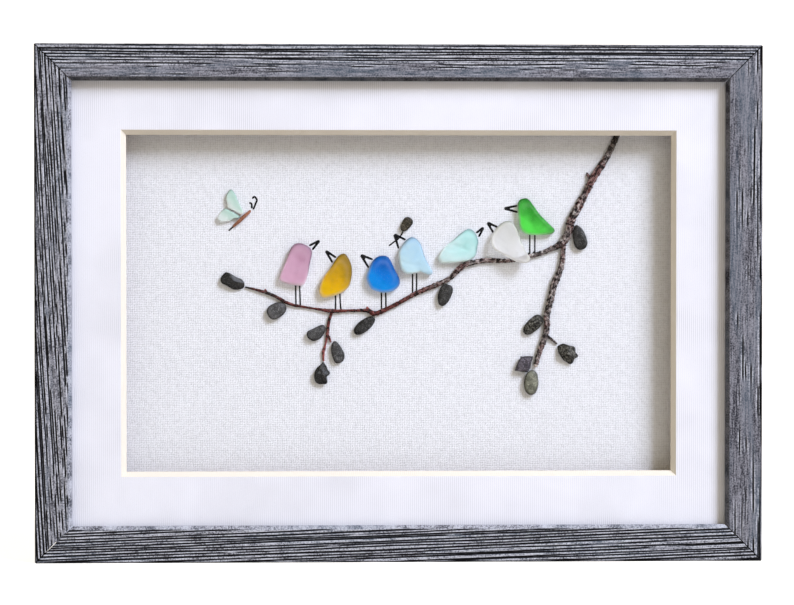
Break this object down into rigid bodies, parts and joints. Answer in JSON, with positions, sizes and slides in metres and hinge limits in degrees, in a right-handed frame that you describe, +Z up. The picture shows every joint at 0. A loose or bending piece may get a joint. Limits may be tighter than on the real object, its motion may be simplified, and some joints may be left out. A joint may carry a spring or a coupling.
{
  "type": "framed glass art",
  "caption": "Shadow-box picture in a grey wood frame: frosted glass birds on a real twig with stone leaves, behind a bevelled white mat and a clear pane.",
  "frame": {"origin": "the middle of the flat underside of the bottom rail, halfway between the frame's front and back", "axes": "+X along the picture's long side, to the viewer's right; +Y from the front to the back, towards the wall; +Z up"},
  "size_m": [0.3802, 0.03, 0.2705],
  "materials": {
    "frame_wood": "brushed grey wood with long dark grooves",
    "pane": "clear flat pane",
    "mat_board": "white mat board with a bevelled window",
    "spacer_board": "tan card strips",
    "linen": "white linen stretched over board",
    "hardboard": "plain brown hardboard",
    "fixings": "zinc-plated steel",
    "bark": "dark mottled bark",
    "brown_wood": "thin reddish-brown sliver of twig",
    "stone": "smooth dark beach pebbles",
    "ink": "dark pen lines on the linen",
    "glass_pink": "frosted sea glass, pink",
    "glass_amber": "frosted sea glass, amber",
    "glass_blue": "frosted sea glass, bright blue",
    "glass_pale_blue": "frosted sea glass, pale blue",
    "glass_aqua": "frosted sea glass, aqua",
    "glass_white": "frosted sea glass, white",
    "glass_green": "frosted sea glass, green",
    "glass_sea_green": "frosted sea glass, pale sea green"
  },
  "bodies": {
    "root": {"rail_top": "frame_wood", "rail_bottom": "frame_wood", "rail_left": "frame_wood", "rail_right": "frame_wood", "glazing": "pane", "window_mat": "mat_board", "spacer_top": "spacer_board", "spacer_bottom": "spacer_board", "spacer_left": "spacer_board", "spacer_right": "spacer_board", "linen_panel": "linen", "back_board": "hardboard", "board_tab_1": "fixings", "board_tab_2": "fixings", "board_tab_3": "fixings", "board_tab_4": "fixings", "board_tab_5": "fixings", "board_tab_6": "fixings", "hanger": "fixings", "twig": "bark", "bird_pink": "glass_pink", "bird_amber": "glass_amber", "bird_blue": "glass_blue", "bird_pale_blue": "glass_pale_blue", "bird_aqua": "glass_aqua", "bird_white": "glass_white", "bird_green": "glass_green", "butterfly_wing_upper": "glass_sea_green", "butterfly_wing_lower": "glass_sea_green", "butterfly_body": "brown_wood", "pebble_01": "stone", "pebble_02": "stone", "pebble_03": "stone", "pebble_04": "stone", "pebble_05": "stone", "pebble_06": "stone", "pebble_07": "stone", "pebble_08": "stone", "pebble_09": "stone", "pebble_10": "stone", "pebble_11": "stone", "pebble_12": "stone", "pebble_13": "stone"}
  },
  "joints": []
}
